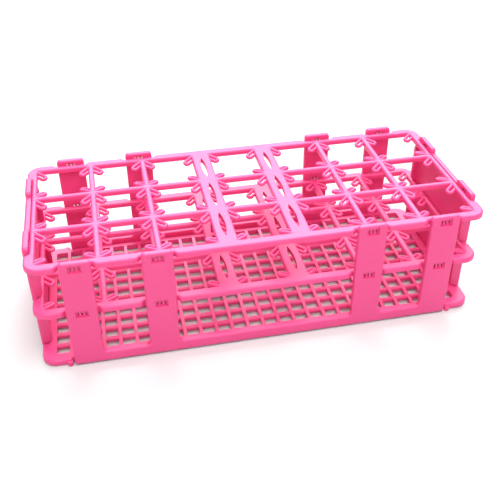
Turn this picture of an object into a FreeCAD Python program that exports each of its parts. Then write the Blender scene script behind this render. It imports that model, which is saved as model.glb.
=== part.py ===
import FreeCAD, Part
import itertools
import math
import os

# Snap-together rack for 21 wide test tubes, moulded in seven pieces: two identical
# tube shelves with sprung fingers, a mesh shelf, two long side panels and two end panels.
# Frame: origin on the floor under the middle, +X along the length, +Y to the back, +Z up.

SIZES = [
    ("shelf_length", 264.0, "outline of all three shelves along X"),
    ("shelf_width", 114.0, "outline of all three shelves along Y"),
    ("shelf_thick", 3.2, "rim and bars of a tube shelf"),
    ("corner_radius", 8.5, "shelf outline corners"),
    ("rim_width", 6.0, "rim of a tube shelf"),
    ("bar_width", 3.4, "plain bars between tube places"),
    ("row_pitch", 35.13, "tube rows, middle to middle"),
    ("place_depth", 31.73, "tube place along Y"),
    ("bar_outer_x", 92.4, "middle of the outer cross bars"),
    ("bar_inner_x", 59.2, "middle of the inner cross bars"),
    ("divider_x", 21.0, "middle of the two wide dividers"),
    ("divider_width", 11.8, "wide divider over its slot"),
    ("slot_width", 3.4, "pointed slot in a wide divider"),
    ("slot_end_gap", 1.8, "slot tip to row bar"),
    ("slot_rim_gap", 5.0, "slot tip to rim"),
    ("place_corner", 1.0, "corners of a tube place"),
    ("notch_round", 3.0, "rim corners beside an upright"),
    ("edge_round", 1.2, "soft upper edges of the shelves"),
    ("top_level", 69.6, "upper face of the top shelf"),
    ("middle_level", 38.8, "upper face of the middle shelf"),
    ("wire_radius", 1.12, "round section of a finger loop"),
    ("wire_offset", 1.52, "finger leg to the middle of the loop"),
    ("finger_reach", 4.7, "root to the centre of the bend"),
    ("finger_turn", 41.0, "degrees a finger turns away from its bar"),
    ("finger_fall", 12.0, "degrees a finger dips towards its tube"),
    ("finger_root", 2.8, "middle of the loop to the place corner"),
    ("finger_drop", 1.0, "finger axis below the upper face at its corner"),
    ("finger_bite", 1.2, "finger legs run into their bar"),
    ("panel_face_y", 59.0, "outer face of a side panel"),
    ("panel_thick", 3.7, "side panel"),
    ("panel_bottom", 1.0, "lower edge of all panels"),
    ("panel_half_length", 113.65, "middle to end of a side panel"),
    ("beam_top", 7.6, "upper edge of a side panel's bottom beam"),
    ("upright_width", 17.2, "uprights of a side panel"),
    ("upright_outer_x", 105.05, "middle of the outer uprights"),
    ("upright_inner_x", 61.05, "middle of the inner uprights"),
    ("cap_level", 72.5, "top of every upright and cap"),
    ("cap_corner", 2.2, "upper corners of uprights and caps"),
    ("window_corner", 2.6, "corners between uprights and beam"),
    ("panel_corner", 1.5, "lower corners of the panels"),
    ("panel_edge_round", 1.0, "soft edges of the panels"),
    ("notch_slit", 0.45, "panel to the bottom of its rim notch"),
    ("end_slit", 0.2, "end panel to the bottom of its rim notch"),
    ("notch_side_gap", 0.6, "upright to the side of its rim notch"),
    ("notch_slope", 1.8, "run of a notch's sloping side"),
    ("end_face_x", 132.5, "outer face of an end panel"),
    ("end_thick", 3.4, "end panel"),
    ("end_half_width", 39.7, "middle to side of an end panel"),
    ("end_cap_inner", 19.5, "middle to the near side of an end cap"),
    ("end_edge_round", 1.4, "soft outer edges of an end panel"),
    ("flange_reach", 6.5, "end panel's side flange, from the outer face inwards"),
    ("flange_thick", 2.4, "end panel's side flange"),
    ("flange_gap", 0.3, "flange to the shelf above or below it"),
    ("flange_corner", 2.4, "inner corners of a flange"),
    ("snap_width", 7.2, "snap recess in an upright"),
    ("snap_depth", 1.0, "snap recess"),
    ("snap_above", 1.3, "snap recess above the shelf face"),
    ("snap_below", 0.2, "snap recess below the shelf"),
    ("slit_width", 1.1, "slit for one snap tab"),
    ("slit_bottom", 0.4, "slit above the shelf's lower face"),
    ("slit_top", 0.3, "slit below the shelf face"),
    ("scoop_radius", 3.6, "round hollow in an upright's inner face"),
    ("scoop_drop", 2.2, "middle of the hollow below the shelf face"),
    ("scoop_depth", 1.1, "round hollow"),
    ("tab_width", 0.8, "snap tab on a shelf"),
    ("tab_pitch", 2.2, "snap tabs, middle to middle"),
    ("tab_height", 2.1, "snap tab"),
    ("tab_base", 0.6, "snap tab above the shelf's lower face"),
    ("tab_recess", 2.5, "snap tab below the panel face"),
    ("mesh_level", 4.2, "upper face of the mesh shelf"),
    ("mesh_thick", 3.6, "mesh shelf"),
    ("mesh_columns", 26, "openings along X"),
    ("mesh_rows", 11, "openings along Y"),
    ("mesh_pitch_x", 9.6, "openings along X, middle to middle"),
    ("mesh_pitch_y", 9.45, "openings along Y, middle to middle"),
    ("mesh_end_open", 7.3, "first and last opening along X"),
    ("mesh_side_open", 7.0, "first and last opening along Y"),
    ("mesh_rod", 3.4, "round bars that run along X"),
    ("mesh_rod_drop", 0.15, "top of a round bar below the mesh face"),
    ("mesh_strip_width", 2.0, "flat bars that run along Y"),
    ("mesh_strip_height", 2.3, "flat bars that run along Y"),
    ("mesh_bar_hold", 2.0, "bars run into the border"),
    ("mesh_window_corner", 1.6, "inner corners of the border"),
    ("mesh_notch_half", 115.0, "middle to end of the side panel's seat"),
    ("mesh_seat_gap", 0.2, "side panel to its seat in the mesh shelf"),
    ("foot_radius", 1.6, "round foot peg"),
    ("foot_x", 116.4, "foot peg"),
    ("foot_y", 57.2, "foot peg"),
    ("foot_round", 0.4, "lower edge of a foot peg"),
]

ROWS = (-1, 0, 1)
SIDES = (-1, 1)
# left and right edge of every tube column, as sheet expressions
HALF_BAR = "Sizes.bar_width/2"
HALF_DIVIDER = "Sizes.divider_width/2"
RIM_INNER_X = "(Sizes.shelf_length/2 - Sizes.rim_width)"
COLUMN_EDGES = [
    (f"-{RIM_INNER_X}", f"-Sizes.bar_outer_x - {HALF_BAR}"),
    (f"-Sizes.bar_outer_x + {HALF_BAR}", f"-Sizes.bar_inner_x - {HALF_BAR}"),
    (f"-Sizes.bar_inner_x + {HALF_BAR}", f"-Sizes.divider_x - {HALF_DIVIDER}"),
    (f"-Sizes.divider_x + {HALF_DIVIDER}", f"Sizes.divider_x - {HALF_DIVIDER}"),
    (f"Sizes.divider_x + {HALF_DIVIDER}", f"Sizes.bar_inner_x - {HALF_BAR}"),
    (f"Sizes.bar_inner_x + {HALF_BAR}", f"Sizes.bar_outer_x - {HALF_BAR}"),
    (f"Sizes.bar_outer_x + {HALF_BAR}", RIM_INNER_X),
]
UPRIGHTS = [
    "-Sizes.upright_outer_x",
    "-Sizes.upright_inner_x",
    "Sizes.upright_inner_x",
    "Sizes.upright_outer_x",
]
END_CAP_MIDDLE = "(Sizes.end_half_width + Sizes.end_cap_inner)/2"
LEVELS = ("Sizes.top_level", "Sizes.middle_level")
MESH_HALF_X = "((Sizes.mesh_columns - 1)/2*Sizes.mesh_pitch_x + Sizes.mesh_end_open/2)"
MESH_HALF_Y = "((Sizes.mesh_rows - 1)/2*Sizes.mesh_pitch_y + Sizes.mesh_side_open/2)"

doc = FreeCAD.newDocument("test_tube_rack")
sheet = doc.addObject("Spreadsheet::Sheet", "Sizes")
for line, (alias, value, note) in enumerate(SIZES, start=1):
    sheet.set(f"A{line}", alias)
    sheet.set(f"B{line}", str(value))
    sheet.set(f"C{line}", note)
    sheet.setAlias(f"B{line}", alias)
doc.recompute()


def size(alias):
    return float(sheet.get(alias))


def bind(item, **expressions):
    for name, expression in expressions.items():
        item.setExpression(name.replace("__", "."), expression)


def place(item, x="0", y="0", z="0"):
    bind(item, Placement__Base__x=x, Placement__Base__y=y, Placement__Base__z=z)


def new_body(label):
    body = doc.addObject("PartDesign::Body", label)
    body.Label = label
    return body


def block(body, kind, low, high):
    """A box between two corners that are given as sheet expressions."""
    item = body.newObject(f"PartDesign::{kind}Box", f"{kind}Box")
    bind(
        item,
        Length=f"({high[0]}) - ({low[0]})",
        Width=f"({high[1]}) - ({low[1]})",
        Height=f"({high[2]}) - ({low[2]})",
    )
    place(item, *low)
    return item


def round_edges(body, radius, wanted):
    """Rounds the edges of the body's tip that pass the test."""
    doc.recompute()
    tip = body.Tip
    names = [f"Edge{n}" for n, edge in enumerate(tip.Shape.Edges, start=1) if wanted(edge)]
    item = body.newObject("PartDesign::Fillet", "Fillet")
    item.Base = (tip, names)
    bind(item, Radius=radius)
    return item


def near(a, b):
    return abs(a - b) < 1e-4


def along(edge, axis):
    """True for a straight edge along axis 0, 1 or 2."""
    if not isinstance(edge.Curve, (Part.Line, Part.LineSegment)):
        return False
    return near(abs(edge.tangentAt(edge.FirstParameter)[axis]), 1.0)


def middle(edge):
    return edge.BoundBox.Center


def lies_in(edge, axis, level):
    """True for an edge that lies in the plane across an axis at a level."""
    box = edge.BoundBox
    low = (box.XMin, box.YMin, box.ZMin)[axis]
    high = (box.XMax, box.YMax, box.ZMax)[axis]
    return abs(low - level) < 1e-3 and abs(high - level) < 1e-3


def shelf_blank(body, thickness):
    """The rounded outline plate all three shelves start from, lower face at z = 0."""
    half_x = "Sizes.shelf_length/2"
    half_y = "Sizes.shelf_width/2"
    block(body, "Additive", (f"-{half_x}", f"-{half_y}", "0"), (half_x, half_y, thickness))
    round_edges(body, "Sizes.corner_radius", lambda edge: along(edge, 2))


def notch(body, turn, along_edge, half_width, depth, edge_distance):
    """A notch with sloping sides cut into an edge of the outline; turn is in degrees."""
    item = body.newObject("PartDesign::SubtractiveWedge", "Notch")
    bind(
        item,
        Xmin=f"-({half_width}) - Sizes.notch_slope*1.2",
        Xmax=f"({half_width}) + Sizes.notch_slope*1.2",
        X2min=f"-({half_width})",
        X2max=half_width,
        Ymin=f"-({depth})*0.2",
        Ymax=depth,
    )
    item.Zmin = -1.0
    item.Z2min = -1.0
    item.Zmax = 6.0
    item.Z2max = 6.0
    item.Placement.Rotation = FreeCAD.Rotation(FreeCAD.Vector(0, 0, 1), turn)
    spots = {
        0: (along_edge, f"-({edge_distance})"),
        180: (along_edge, edge_distance),
        90: (edge_distance, along_edge),
        270: (f"-({edge_distance})", along_edge),
    }
    place(item, *spots[turn])


def solid(kind, name, **expressions):
    """A Part primitive whose sizes and place are sheet expressions."""
    item = doc.addObject(f"Part::{kind}", name)
    item.Label = name
    bind(item, **expressions)
    return item


def joined(name, items):
    item = doc.addObject("Part::MultiFuse", name)
    item.Label = name
    item.Shapes = items
    return item


def lens(name, x, low_y, high_y):
    """The pointed slot through a wide divider: what two large round bars have in common."""
    chord = f"(({high_y}) - ({low_y}))"
    belly = "Sizes.slot_width/2"
    radius = f"(({chord}*{chord}/4 + {belly}*{belly})/(2*{belly}))"
    halves = []
    for side in SIDES:
        halves.append(
            solid(
                "Cylinder",
                f"{name}_{'left' if side < 0 else 'right'}",
                Radius=radius,
                Height="Sizes.shelf_thick + 2",
                Placement__Base__x=f"({x}) + {side}*({radius} - {belly})",
                Placement__Base__y=f"(({high_y}) + ({low_y}))/2",
                Placement__Base__z="-1",
            )
        )
    item = doc.addObject("Part::MultiCommon", name)
    item.Shapes = halves
    return item


def tube_shelf_body():
    """Rim and bars of a tube shelf with the notches the panels stand in."""
    body = new_body("tube_shelf_grid")
    shelf_blank(body, "Sizes.shelf_thick")
    side_depth = "(Sizes.shelf_width/2 - Sizes.panel_face_y + Sizes.panel_thick + Sizes.notch_slit)"
    end_depth = "(Sizes.shelf_length/2 - Sizes.end_face_x + Sizes.end_thick + Sizes.end_slit)"
    for x in UPRIGHTS:
        half = "Sizes.upright_width/2 + Sizes.notch_side_gap"
        notch(body, 0, x, half, side_depth, "Sizes.shelf_width/2")
        notch(body, 180, x, half, side_depth, "Sizes.shelf_width/2")
    half = "Sizes.end_half_width + Sizes.notch_slit"
    notch(body, 90, "0", half, end_depth, "Sizes.shelf_length/2")
    notch(body, 270, "0", half, end_depth, "Sizes.shelf_length/2")
    edge_x = size("shelf_length") / 2
    edge_y = size("shelf_width") / 2
    straight_x = edge_x - size("corner_radius") - 0.5
    straight_y = edge_y - size("corner_radius") - 0.5
    round_edges(
        body,
        "Sizes.notch_round",
        lambda edge: along(edge, 2)
        and (
            (near(abs(middle(edge).y), edge_y) and abs(middle(edge).x) < straight_x)
            or (near(abs(middle(edge).x), edge_x) and abs(middle(edge).y) < straight_y)
        ),
    )
    for left, right in COLUMN_EDGES:
        for row in ROWS:
            front = f"{row}*Sizes.row_pitch - Sizes.place_depth/2"
            back = f"{row}*Sizes.row_pitch + Sizes.place_depth/2"
            block(body, "Subtractive", (left, front, "-1"), (right, back, "Sizes.shelf_thick + 1"))
    inside = size("shelf_length") / 2 - size("rim_width") / 2
    inside_y = size("shelf_width") / 2 - size("rim_width") / 2
    round_edges(
        body,
        "Sizes.place_corner",
        lambda edge: along(edge, 2) and abs(middle(edge).x) < inside and abs(middle(edge).y) < inside_y,
    )
    seat = size("end_face_x") - size("end_thick") - size("end_slit")
    round_edges(
        body,
        "Sizes.edge_round",
        lambda edge: lies_in(edge, 2, size("shelf_thick"))
        and not lies_in(edge, 0, math.copysign(seat, middle(edge).x)),
    )
    return body


def slots():
    rim_y = "(Sizes.shelf_width/2 - Sizes.rim_width)"
    items = []
    for column, side in (("left", -1), ("right", 1)):
        x = f"{side}*Sizes.divider_x"
        inner = "(Sizes.place_depth/2 - Sizes.slot_end_gap)"
        near_tip = "(Sizes.row_pitch - Sizes.place_depth/2 + Sizes.slot_end_gap)"
        far_tip = f"({rim_y} - Sizes.slot_rim_gap)"
        items.append(lens(f"slot_{column}_front", x, f"-{far_tip}", f"-{near_tip}"))
        items.append(lens(f"slot_{column}_middle", x, f"-{inner}", inner))
        items.append(lens(f"slot_{column}_back", x, near_tip, far_tip))
    return items


def finger_loop():
    """One sprung finger: two legs and a half-round bend, lying flat with the bend at +X."""
    turn = "(Sizes.finger_turn*1 deg)"
    legs = []
    for name, side in (("leg_by_bar", 1), ("leg_by_tube", -1)):
        start = f"(-(Sizes.finger_bite + {side}*Sizes.wire_offset*sin{turn})/cos{turn})"
        leg = solid(
            "Cylinder",
            name,
            Radius="Sizes.wire_radius",
            Height=f"Sizes.finger_reach - {start}",
            Placement__Base__x=start,
            Placement__Base__y=f"{side}*Sizes.wire_offset",
        )
        leg.Placement.Rotation = FreeCAD.Rotation(FreeCAD.Vector(0, 1, 0), 90)
        legs.append(leg)
    bend = solid(
        "Torus",
        "finger_bend",
        Radius1="Sizes.wire_offset",
        Radius2="Sizes.wire_radius",
        Placement__Base__x="Sizes.finger_reach",
    )
    bend.Angle3 = 180
    bend.Placement.Rotation = FreeCAD.Rotation(FreeCAD.Vector(0, 0, 1), -90)
    return joined("finger_loop", legs + [bend])


def finger_set(loop):
    """Four fingers in every tube place, one at each corner, pointing in and down."""
    doc.recompute()
    z_axis = FreeCAD.Vector(0, 0, 1)
    x_axis = FreeCAD.Vector(1, 0, 0)
    nowhere = FreeCAD.Vector(0, 0, 0)
    master = loop.Shape.copy()
    master.rotate(nowhere, z_axis, -size("finger_turn"))
    master.translate(FreeCAD.Vector(0, -size("finger_root"), 0))
    master.rotate(nowhere, x_axis, size("finger_fall"))
    master.translate(FreeCAD.Vector(0, 0, size("shelf_thick") - size("finger_drop")))
    corners = {}
    for side in SIDES:
        turned = master if side < 0 else master.mirror(nowhere, x_axis)
        corners[side, 1] = turned
        corners[side, -1] = turned.mirror(nowhere, FreeCAD.Vector(0, 1, 0))
    helper = doc.addObject("App::FeaturePython", "ColumnEdges")
    shapes = []
    for column, edges in enumerate(COLUMN_EDGES):
        for side, expression in zip(SIDES, edges):
            name = f"Column{column}{'Left' if side < 0 else 'Right'}"
            helper.addProperty("App::PropertyFloat", name)
            helper.setExpression(name, expression)
    doc.recompute()
    for column in range(len(COLUMN_EDGES)):
        for side in SIDES:
            x = getattr(helper, f"Column{column}{'Left' if side < 0 else 'Right'}")
            for row in ROWS:
                for end in SIDES:
                    y = row * size("row_pitch") + end * size("place_depth") / 2
                    one = corners[side, end].copy()
                    one.translate(FreeCAD.Vector(x, y, 0))
                    shapes.append(one)
    item = doc.addObject("Part::Feature", "finger_set")
    item.Label = "finger_set"
    item.Shape = Part.makeCompound(shapes)
    return item


def snap_tabs():
    """Three small tabs at every upright and end cap, standing out of the notch bottoms."""
    items = []
    tab_half = "Sizes.tab_width/2"
    out_y = "(Sizes.panel_face_y - Sizes.tab_recess)"
    in_y = "(Sizes.shelf_width/2 - Sizes.rim_width/2)"
    out_x = "(Sizes.end_face_x - Sizes.tab_recess)"
    in_x = "(Sizes.shelf_length/2 - Sizes.rim_width*0.75)"
    for number, tab in itertools.product(range(4), (-1, 0, 1)):
        x = f"({UPRIGHTS[number]} + {tab}*Sizes.tab_pitch)"
        for side in SIDES:
            items.append(
                solid(
                    "Box",
                    f"tab_{'front' if side < 0 else 'back'}_{number}_{tab + 1}",
                    Length="Sizes.tab_width",
                    Width=f"{out_y} - {in_y}",
                    Height="Sizes.tab_height",
                    Placement__Base__z="Sizes.tab_base",
                    Placement__Base__x=f"{x} - {tab_half}",
                    Placement__Base__y=f"-{out_y}" if side < 0 else in_y,
                )
            )
    for cap, tab, side in itertools.product(SIDES, (-1, 0, 1), SIDES):
        y = f"({cap}*{END_CAP_MIDDLE} + {tab}*Sizes.tab_pitch)"
        items.append(
            solid(
                "Box",
                f"tab_{'left' if side < 0 else 'right'}_{(cap + 1) // 2}_{tab + 1}",
                Length=f"{out_x} - {in_x}",
                Width="Sizes.tab_width",
                Height="Sizes.tab_height",
                Placement__Base__z="Sizes.tab_base",
                Placement__Base__x=f"-{out_x}" if side < 0 else in_x,
                Placement__Base__y=f"{y} - {tab_half}",
            )
        )
    return items


def tube_shelf(name, level, whole, cutters):
    """One moulding: the joined grid, fingers and tabs with the pointed slots cut out."""
    item = doc.addObject("Part::Cut", name)
    item.Label = name
    item.Base = whole
    item.Tool = cutters
    place(item, z=f"{level} - Sizes.shelf_thick")
    return item


def mesh_border():
    """Border plate of the lowest shelf with the panels' seats and four foot pegs."""
    body = new_body("mesh_border")
    shelf_blank(body, "Sizes.mesh_thick")
    seat = "(Sizes.panel_face_y - Sizes.panel_thick - Sizes.mesh_seat_gap)"
    end_seat = "(Sizes.end_face_x - Sizes.end_thick - Sizes.mesh_seat_gap)"
    top = "Sizes.mesh_thick + 1"
    far_y = "Sizes.shelf_width/2 + 1"
    far_x = "Sizes.shelf_length/2 + 1"
    half = "Sizes.mesh_notch_half"
    end_half = "(Sizes.end_half_width + Sizes.notch_slit)"
    block(body, "Subtractive", (f"-{half}", f"-({far_y})", "-1"), (half, f"-{seat}", top))
    block(body, "Subtractive", (f"-{half}", seat, "-1"), (half, far_y, top))
    block(body, "Subtractive", (f"-({far_x})", f"-{end_half}", "-1"), (f"-{end_seat}", end_half, top))
    block(body, "Subtractive", (end_seat, f"-{end_half}", "-1"), (far_x, end_half, top))
    round_edges(body, "Sizes.edge_round", lambda edge: lies_in(edge, 2, size("mesh_thick")))
    block(
        body,
        "Subtractive",
        (f"-{MESH_HALF_X}", f"-{MESH_HALF_Y}", "-1"),
        (MESH_HALF_X, MESH_HALF_Y, top),
    )
    window_x = (size("mesh_columns") - 1) / 2 * size("mesh_pitch_x")
    window_y = (size("mesh_rows") - 1) / 2 * size("mesh_pitch_y")
    round_edges(
        body,
        "Sizes.mesh_window_corner",
        lambda edge: along(edge, 2)
        and window_x < abs(middle(edge).x) < window_x + size("mesh_end_open")
        and window_y < abs(middle(edge).y) < window_y + size("mesh_side_open"),
    )
    for side_x, side_y in itertools.product(SIDES, SIDES):
        foot = body.newObject("PartDesign::AdditiveCylinder", "Foot")
        bind(foot, Radius="Sizes.foot_radius", Height="Sizes.mesh_level - Sizes.edge_round")
        place(
            foot,
            f"{side_x}*Sizes.foot_x",
            f"{side_y}*Sizes.foot_y",
            "Sizes.mesh_thick - Sizes.mesh_level",
        )
    floor = size("mesh_thick") - size("mesh_level")
    round_edges(body, "Sizes.foot_round", lambda edge: lies_in(edge, 2, floor))
    return body


def mesh_shelf(name):
    """The lowest shelf: round bars along X and flat bars along Y inside a border."""
    items = [mesh_border()]
    rods = int(size("mesh_rows")) - 1
    for number in range(rods):
        rod = solid(
            "Cylinder",
            f"mesh_rod_{number}",
            Radius="Sizes.mesh_rod/2",
            Height=f"2*({MESH_HALF_X} + Sizes.mesh_bar_hold)",
            Placement__Base__x=f"-({MESH_HALF_X} + Sizes.mesh_bar_hold)",
            Placement__Base__y=f"({number} - (Sizes.mesh_rows - 2)/2)*Sizes.mesh_pitch_y",
            Placement__Base__z="Sizes.mesh_thick - Sizes.mesh_rod_drop - Sizes.mesh_rod/2",
        )
        rod.Placement.Rotation = FreeCAD.Rotation(FreeCAD.Vector(0, 1, 0), 90)
        items.append(rod)
    for number in range(int(size("mesh_columns")) - 1):
        middle_x = f"({number} - (Sizes.mesh_columns - 2)/2)*Sizes.mesh_pitch_x"
        items.append(
            solid(
                "Box",
                f"mesh_strip_{number}",
                Length="Sizes.mesh_strip_width",
                Width=f"2*({MESH_HALF_Y} + Sizes.mesh_bar_hold)",
                Height="Sizes.mesh_strip_height",
                Placement__Base__x=f"{middle_x} - Sizes.mesh_strip_width/2",
                Placement__Base__y=f"-({MESH_HALF_Y} + Sizes.mesh_bar_hold)",
                Placement__Base__z="Sizes.mesh_thick - Sizes.mesh_strip_height",
            )
        )
    item = joined(name, items)
    place(item, z="Sizes.mesh_level - Sizes.mesh_thick")
    return item


def snap_hole(body, depth_axis, run, depth, height):
    """A box cut from a panel; depth_axis is the axis the panel's thickness lies along."""
    low, high = ([span[end] for span in (run, depth, height)] for end in (0, 1))
    if depth_axis == "x":
        low[:2] = low[1::-1]
        high[:2] = high[1::-1]
    block(body, "Subtractive", low, high)


def snap_seat(body, depth_axis, at, level, face, inner):
    """Where a shelf snaps in: a recess with three tab slits, and a round hollow inside."""
    half = "Sizes.snap_width/2"
    under = f"{level} - Sizes.shelf_thick - Sizes.snap_below"
    run = (f"{at} - {half}", f"{at} + {half}")
    recess = (f"{face} - 1", f"{face} + Sizes.snap_depth")
    snap_hole(body, depth_axis, run, recess, (under, f"{level} + Sizes.snap_above"))
    half = "Sizes.slit_width/2"
    height = (f"{level} - Sizes.shelf_thick + Sizes.slit_bottom", f"{level} - Sizes.slit_top")
    for tab in (-1, 0, 1):
        run = (f"{at} + {tab}*Sizes.tab_pitch - {half}", f"{at} + {tab}*Sizes.tab_pitch + {half}")
        snap_hole(body, depth_axis, run, (face, f"{inner} + 1"), height)
    hollow = body.newObject("PartDesign::SubtractiveCylinder", "Hollow")
    bind(hollow, Radius="Sizes.scoop_radius", Height="Sizes.scoop_depth + 1")
    start = f"{inner} - Sizes.scoop_depth"
    if depth_axis == "x":
        hollow.Placement.Rotation = FreeCAD.Rotation(FreeCAD.Vector(0, 1, 0), 90)
        place(hollow, start, at, f"{level} - Sizes.scoop_drop")
    else:
        hollow.Placement.Rotation = FreeCAD.Rotation(FreeCAD.Vector(1, 0, 0), -90)
        place(hollow, at, start, f"{level} - Sizes.scoop_drop")


def side_panel(name, turn):
    """A long panel: bottom beam and four uprights with snap windows; turn 180 faces the back."""
    body = new_body(name)
    half = "Sizes.panel_half_length"
    face = "-Sizes.panel_face_y"
    inner = "(Sizes.panel_thick - Sizes.panel_face_y)"
    bottom = "Sizes.panel_bottom"
    block(body, "Additive", (f"-{half}", face, bottom), (half, inner, "Sizes.beam_top"))
    reach = "Sizes.upright_width/2"
    for x in UPRIGHTS:
        block(
            body, "Additive", (f"{x} - {reach}", face, bottom), (f"{x} + {reach}", inner, "Sizes.cap_level")
        )
    levels = (
        ("beam_top", "window_corner"),
        ("cap_level", "cap_corner"),
        ("panel_bottom", "panel_corner"),
    )
    for level, corner in levels:
        round_edges(
            body,
            f"Sizes.{corner}",
            lambda edge: along(edge, 1) and near(middle(edge).z, size(level)),
        )
    for depth in (-size("panel_face_y"), size("panel_thick") - size("panel_face_y")):
        round_edges(body, "Sizes.panel_edge_round", lambda edge: lies_in(edge, 1, depth))
    for x, level in itertools.product(UPRIGHTS, LEVELS):
        snap_seat(body, "y", x, level, face, inner)
    body.Placement.Rotation = FreeCAD.Rotation(FreeCAD.Vector(0, 0, 1), turn)
    return body


def end_panel(name, turn):
    """An end panel: one wide plate with two raised caps; turn 180 faces the right."""
    body = new_body(name)
    face = "-Sizes.end_face_x"
    inner = "(Sizes.end_thick - Sizes.end_face_x)"
    half = "Sizes.end_half_width"
    cap = "Sizes.end_cap_inner"
    bottom = "Sizes.panel_bottom"
    block(body, "Additive", (face, f"-{half}", bottom), (inner, half, "Sizes.top_level"))
    block(body, "Additive", (face, f"-{half}", bottom), (inner, f"-{cap}", "Sizes.cap_level"))
    block(body, "Additive", (face, cap, bottom), (inner, half, "Sizes.cap_level"))
    for level, corner in (("cap_level", "cap_corner"), ("panel_bottom", "panel_corner")):
        round_edges(
            body,
            f"Sizes.{corner}",
            lambda edge: along(edge, 0) and near(middle(edge).z, size(level)),
        )
    round_edges(body, "Sizes.end_edge_round", lambda edge: lies_in(edge, 0, -size("end_face_x")))
    flange_edge = "(Sizes.flange_reach - Sizes.end_face_x)"
    storeys = (("Sizes.mesh_level", "Sizes.middle_level"), ("Sizes.middle_level", "Sizes.top_level"))
    for side, (under, over) in itertools.product(SIDES, storeys):
        low_y = f"-{half}" if side < 0 else f"({half} - Sizes.flange_thick)"
        high_y = f"(Sizes.flange_thick - {half})" if side < 0 else half
        low_z = f"{under} + Sizes.flange_gap"
        high_z = f"{over} - Sizes.shelf_thick - Sizes.flange_gap"
        block(body, "Additive", (inner, low_y, low_z), (flange_edge, high_y, high_z))
    reach_x = size("flange_reach") - size("end_face_x")
    round_edges(
        body,
        "Sizes.flange_corner",
        lambda edge: along(edge, 1) and near(middle(edge).x, reach_x),
    )
    for side, level in itertools.product(SIDES, LEVELS):
        snap_seat(body, "x", f"{side}*{END_CAP_MIDDLE}", level, face, inner)
    body.Placement.Rotation = FreeCAD.Rotation(FreeCAD.Vector(0, 0, 1), turn)
    return body


grid = tube_shelf_body()
fingers = finger_set(finger_loop())
moulding = joined("tube_shelf_moulding", [grid, fingers] + snap_tabs())
slot_set = joined("slot_set", slots())
nodes = [
    tube_shelf("top_shelf", "Sizes.top_level", moulding, slot_set),
    tube_shelf("middle_shelf", "Sizes.middle_level", moulding, slot_set),
    mesh_shelf("bottom_shelf"),
    side_panel("front_panel", 0),
    side_panel("back_panel", 180),
    end_panel("left_end_panel", 0),
    end_panel("right_end_panel", 180),
]
doc.recompute()

for item in doc.Objects:
    if "Invalid" in item.State or "Error" in item.State:
        raise RuntimeError(f"{item.Name} did not rebuild: {item.State}")
for item in nodes:
    if item.Shape.isNull() or not item.Shape.isValid():
        raise RuntimeError(f"{item.Label} has no valid shape")

os.makedirs("parts", exist_ok=True)
for item in nodes:
    item.Shape.exportStep(f"parts/{item.Label}.step")
    box = item.Shape.BoundBox
    print(item.Label, len(item.Shape.Solids), "solid,", len(item.Shape.Faces), "faces,", box)
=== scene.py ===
import bpy
import math
from mathutils import Matrix, Vector

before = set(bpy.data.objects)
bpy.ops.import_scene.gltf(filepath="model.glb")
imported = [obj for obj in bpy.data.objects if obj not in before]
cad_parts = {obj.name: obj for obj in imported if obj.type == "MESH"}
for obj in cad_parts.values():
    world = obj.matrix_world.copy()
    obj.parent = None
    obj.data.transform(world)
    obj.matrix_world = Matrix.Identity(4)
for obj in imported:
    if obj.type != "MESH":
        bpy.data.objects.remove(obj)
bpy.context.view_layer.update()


# ---------------------------------------------------------------- materials
PINK_DEEP = (0.755, 0.058, 0.228)
PINK_LIGHT = (0.785, 0.066, 0.244)
SCATTER_RADIUS = (0.0030, 0.0008, 0.0014)  # metres, how far each colour spreads in the plastic
SATIN_ROUGHNESS = (0.40, 0.50)
FLOW_SCALE = 22.0  # broad flow marks
HAZE_SCALE = 90.0  # patches of slightly duller skin
GRAIN_SCALE = 1400.0  # tool marks
GRAIN_DEPTH = 0.00006


def add(nodes, kind, x, y, **inputs):
    """A node at a spot of the node sheet, with its inputs set by name."""
    node = nodes.new(kind)
    node.location = (x, y)
    for name, value in inputs.items():
        node.inputs[name].default_value = value
    return node


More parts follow.
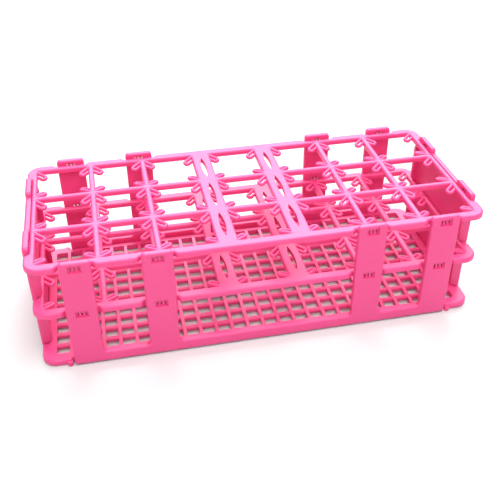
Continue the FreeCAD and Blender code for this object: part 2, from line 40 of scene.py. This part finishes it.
def moulded_plastic(name, deep, light):
    """Satin injection-moulded polypropylene: faint flow mottling and a fine tool grain."""
    material = bpy.data.materials.new(name)
    material.use_nodes = True
    nodes = material.node_tree.nodes
    link = material.node_tree.links.new
    nodes.clear()
    out = add(nodes, "ShaderNodeOutputMaterial", 700, 0)
    shader = add(nodes, "ShaderNodeBsdfPrincipled", 400, 0, IOR=1.49)
    shader.inputs["Specular IOR Level"].default_value = 0.5
    shader.inputs["Subsurface Weight"].default_value = 0.12
    shader.inputs["Subsurface Radius"].default_value = SCATTER_RADIUS
    shader.inputs["Subsurface Scale"].default_value = 1.0
    where = add(nodes, "ShaderNodeTexCoord", -900, 0)
    flow = add(nodes, "ShaderNodeTexNoise", -600, 200, Scale=FLOW_SCALE, Detail=3.0, Roughness=0.55)
    haze = add(nodes, "ShaderNodeTexNoise", -600, -80, Scale=HAZE_SCALE, Detail=4.0)
    grain = add(nodes, "ShaderNodeTexNoise", -600, -380, Scale=GRAIN_SCALE, Detail=2.0)
    tint = add(nodes, "ShaderNodeValToRGB", -250, 250)
    for stop, position, colour in zip(tint.color_ramp.elements, (0.30, 0.70), (deep, light)):
        stop.position = position
        stop.color = (*colour, 1)
    gloss = add(nodes, "ShaderNodeMapRange", -250, -80)
    gloss.inputs["To Min"].default_value, gloss.inputs["To Max"].default_value = SATIN_ROUGHNESS
    relief = add(nodes, "ShaderNodeBump", 100, -380, Strength=0.12, Distance=GRAIN_DEPTH)
    for texture in (flow, haze, grain):
        link(where.outputs["Object"], texture.inputs["Vector"])
    link(flow.outputs["Fac"], tint.inputs["Fac"])
    link(tint.outputs["Color"], shader.inputs["Base Color"])
    link(haze.outputs["Fac"], gloss.inputs["Value"])
    link(gloss.outputs["Result"], shader.inputs["Roughness"])
    link(grain.outputs["Fac"], relief.inputs["Height"])
    link(relief.outputs["Normal"], shader.inputs["Normal"])
    link(shader.outputs["BSDF"], out.inputs["Surface"])
    return material


plastic = moulded_plastic("pink_polypropylene", PINK_DEEP, PINK_LIGHT)
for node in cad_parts.values():
    for slot in node.material_slots:
        slot.link = "OBJECT"
        slot.material = plastic


# ---------------------------------------------------------------- floor
FLOOR_SIZE = 12
FLOOR_COLOUR = (0.60, 0.60, 0.60, 1)


def plain_floor():
    """A wide sheet of plain, pale, matt paper."""
    bpy.ops.mesh.primitive_plane_add(size=FLOOR_SIZE)
    floor = bpy.context.object
    floor.name = "floor"
    material = bpy.data.materials.new("floor_paper")
    material.use_nodes = True
    shader = material.node_tree.nodes["Principled BSDF"]
    shader.inputs["Base Color"].default_value = FLOOR_COLOUR
    shader.inputs["Roughness"].default_value = 0.9
    shader.inputs["Specular IOR Level"].default_value = 0.1
    floor.data.materials.append(material)


plain_floor()


# ---------------------------------------------------------------- light
LIGHT_TARGET = (0.0, 0.0, 0.03)
WORLD_STRENGTH = 0.46


def soft_box(name, spot, width, depth, power):
    """A rectangular area light at spot, aimed at the rack. Sizes in metres, power in watts."""
    data = bpy.data.lights.new(name, "AREA")
    data.shape = "RECTANGLE"
    data.size = width
    data.size_y = depth
    data.energy = power
    lamp = bpy.data.objects.new(name, data)
    bpy.context.scene.collection.objects.link(lamp)
    lamp.location = spot
    aim = Vector(LIGHT_TARGET) - Vector(spot)
    lamp.rotation_euler = aim.to_track_quat("-Z", "Y").to_euler()


def studio_world(strength):
    """Even white light from all round."""
    world = bpy.data.worlds.new("studio")
    world.use_nodes = True
    background = world.node_tree.nodes["Background"]
    background.inputs["Color"].default_value = (1.0, 1.0, 1.0, 1)
    background.inputs["Strength"].default_value = strength
    bpy.context.scene.world = world


soft_box("back_soft_box", (0.25, 1.15, 1.05), width=1.6, depth=0.9, power=36.5)
soft_box("top_soft_box", (0.10, -0.20, 1.30), width=1.0, depth=1.0, power=19.0)
soft_box("front_soft_box", (-0.30, -1.05, 1.10), width=1.4, depth=0.9, power=8.8)
studio_world(WORLD_STRENGTH)
bpy.context.scene.view_settings.view_transform = "Standard"


# ---------------------------------------------------------------- camera
def camera(spot, azimuth, elevation, roll, lens):
    """azimuth turns the view from +Y towards +X, elevation is how far it looks down, in degrees."""
    data = bpy.data.cameras.new("camera")
    data.sensor_width = 36.0
    data.lens = lens
    data.clip_start = 0.01
    data.clip_end = 50.0
    item = bpy.data.objects.new("camera", data)
    bpy.context.scene.collection.objects.link(item)
    turn = (
        Matrix.Rotation(math.radians(-azimuth), 4, "Z")
        @ Matrix.Rotation(math.radians(90.0 - elevation), 4, "X")
        @ Matrix.Rotation(math.radians(roll), 4, "Z")
    )
    item.matrix_world = Matrix.Translation(spot) @ turn
    bpy.context.scene.camera = item


camera((-0.0782, -0.3851, 0.3060), azimuth=11.76, elevation=35.65, roll=-0.315, lens=53.70)
